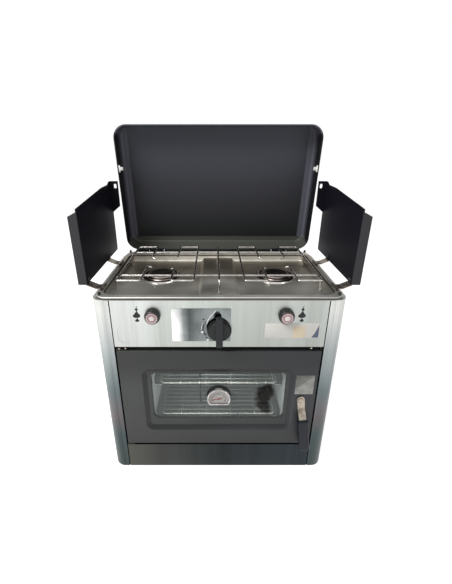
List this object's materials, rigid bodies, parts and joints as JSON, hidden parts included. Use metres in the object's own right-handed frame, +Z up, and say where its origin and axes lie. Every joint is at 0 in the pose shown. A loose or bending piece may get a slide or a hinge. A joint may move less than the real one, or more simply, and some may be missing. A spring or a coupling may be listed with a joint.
{
  "type": "gas stove with oven",
  "caption": "Tabletop gas hob on a steel cabinet with a small glazed oven, a fold-back lid and folding side windshields.",
  "frame": {"origin": "centre of the bounding box in plan, on the surface that the rubber feet stand on", "axes": "+X to the right as seen from the front, +Y to the back, +Z up; the oven door faces -Y"},
  "size_m": [0.576, 0.3832, 0.7889],
  "materials": {
    "panel_steel": "stainless steel, vertical brush",
    "skirt_steel": "stainless steel, vertical brush",
    "plain_steel": "plain galvanised sheet",
    "hob_steel": "polished stainless steel",
    "support_wire": "bright plated wire",
    "trim_chrome": "bright plating",
    "burner_alloy": "cast, machined",
    "cap_metal": "polished",
    "ceramic_white": "glazed ceramic",
    "oven_enamel": "vitreous enamel",
    "valve_brass": "machined",
    "pipe_alloy": "drawn tube",
    "probe_copper": "drawn tube",
    "black_plastic": "fine texture",
    "grey_plastic": "fine texture",
    "grip_plastic": "smooth",
    "door_paint": "matte dark grey paint",
    "lid_paint": "satin black paint",
    "shield_paint": "satin black paint",
    "zinc_steel": "zinc plated",
    "needle_paint": "matte paint",
    "dial_white": "printed white",
    "oven_glass": "toughened, grey tint",
    "clear_glass": "clear",
    "black_rubber": "moulded"
  },
  "bodies": {
    "cabinet": {"left_side_panel": "panel_steel", "right_side_panel": "panel_steel", "base_panel": "plain_steel", "back_panel": "plain_steel", "control_panel": "panel_steel", "lower_front_panel": "skirt_steel", "hob_tray": "hob_steel", "pan_support_grate": "support_wire", "burner_trim_rings": "trim_chrome", "burner_bodies": "burner_alloy", "burner_caps": "cap_metal", "igniter_electrodes": "ceramic_white", "oven_liner": "oven_enamel", "oven_floor_plate": "plain_steel", "oven_burner": "plain_steel", "oven_racks": "support_wire", "rack_runners": "plain_steel", "oven_thermocouple": "probe_copper", "gas_valves": "valve_brass", "gas_manifold": "pipe_alloy", "oven_supply_tube": "pipe_alloy", "gas_inlet_fitting": "valve_brass", "spark_unit": "black_plastic", "door_hinge_brackets": "zinc_steel", "latch_keeper": "zinc_steel", "lid_hinge_leaves": "shield_paint", "lid_rest_pads": "black_rubber", "windshield_hinge_lugs": "zinc_steel", "rubber_feet": "black_rubber", "cabinet_screws": "zinc_steel"},
    "oven_door": {"door_outer_panel": "door_paint", "door_inner_panel": "door_paint", "door_window_channel": "door_paint", "door_glass": "oven_glass", "door_seal": "black_rubber", "door_hinge_pins": "zinc_steel", "thermometer_case": "black_plastic", "thermometer_bezel": "trim_chrome", "thermometer_dial": "dial_white", "thermometer_lens": "clear_glass"},
    "thermometer_pointer": {"thermometer_needle": "needle_paint"},
    "door_latch": {"latch_arm": "zinc_steel", "latch_grip": "grip_plastic", "latch_shaft": "zinc_steel"},
    "lid": {"lid_shell": "lid_paint", "lid_hinge_straps": "shield_paint", "lid_side_clips": "trim_chrome"},
    "left_windshield": {"left_windshield_panel": "shield_paint", "left_windshield_straps": "zinc_steel"},
    "right_windshield": {"right_windshield_panel": "shield_paint", "right_windshield_straps": "zinc_steel"},
    "left_burner_push": {"left_push_rod": "valve_brass"},
    "left_burner_control": {"left_spindle": "valve_brass", "left_burner_knob": "black_plastic"},
    "right_burner_push": {"right_push_rod": "valve_brass"},
    "right_burner_control": {"right_spindle": "valve_brass", "right_burner_knob": "black_plastic"},
    "oven_push": {"oven_push_rod": "valve_brass"},
    "oven_control": {"oven_spindle": "valve_brass", "oven_knob": "grey_plastic"}
  },
  "joints": [
    {"name": "door_hinge", "type": "hinge", "parent": "cabinet", "child": "oven_door", "pos_m": [-0.2115, -0.16256, 0.214], "axis": [0, 0, -1], "range_deg": [0, 110]},
    {"name": "thermometer_pivot", "type": "hinge", "parent": "oven_door", "child": "thermometer_pointer", "pos_m": [0, -0.17306, 0.2215], "axis": [0, 1, 0], "range_deg": [0, 195], "stiffness_Nm_per_rad": 0.0005},
    {"name": "latch_turn", "type": "hinge", "parent": "oven_door", "child": "door_latch", "pos_m": [0.186, -0.16856, 0.2157], "axis": [0, 1, 0], "range_deg": [0, 97.5]},
    {"name": "lid_hinge", "type": "hinge", "parent": "cabinet", "child": "lid", "pos_m": [0, 0.14344, 0.4747], "axis": [1, 0, 0], "range_deg": [0, 83.5]},
    {"name": "left_windshield_fold", "type": "hinge", "parent": "cabinet", "child": "left_windshield", "pos_m": [-0.2425, -0.05106, 0.4737], "axis": [0, 1, 0], "range_deg": [0, 90]},
    {"name": "right_windshield_fold", "type": "hinge", "parent": "cabinet", "child": "right_windshield", "pos_m": [0.2425, -0.05106, 0.4737], "axis": [0, -1, 0], "range_deg": [0, 90]},
    {"name": "left_burner_press", "type": "slide", "parent": "cabinet", "child": "left_burner_push", "axis": [0, 1, 0], "range_m": [0, 0.003], "stiffness_N_per_m": 2500, "springref_m": -0.001},
    {"name": "left_burner_turn", "type": "hinge", "parent": "left_burner_push", "child": "left_burner_control", "pos_m": [-0.135, -0.17856, 0.43], "axis": [0, -1, 0], "range_deg": [0, 210]},
    {"name": "right_burner_press", "type": "slide", "parent": "cabinet", "child": "right_burner_push", "axis": [0, 1, 0], "range_m": [0, 0.003], "stiffness_N_per_m": 2500, "springref_m": -0.001},
    {"name": "right_burner_turn", "type": "hinge", "parent": "right_burner_push", "child": "right_burner_control", "pos_m": [0.135, -0.17856, 0.43], "axis": [0, -1, 0], "range_deg": [0, 210]},
    {"name": "oven_press", "type": "slide", "parent": "cabinet", "child": "oven_push", "axis": [0, 1, 0], "range_m": [0, 0.003], "stiffness_N_per_m": 2500, "springref_m": -0.001},
    {"name": "oven_turn", "type": "hinge", "parent": "oven_push", "child": "oven_control", "pos_m": [0, -0.17856, 0.398], "axis": [0, -1, 0], "range_deg": [0, 210]}
  ]
}
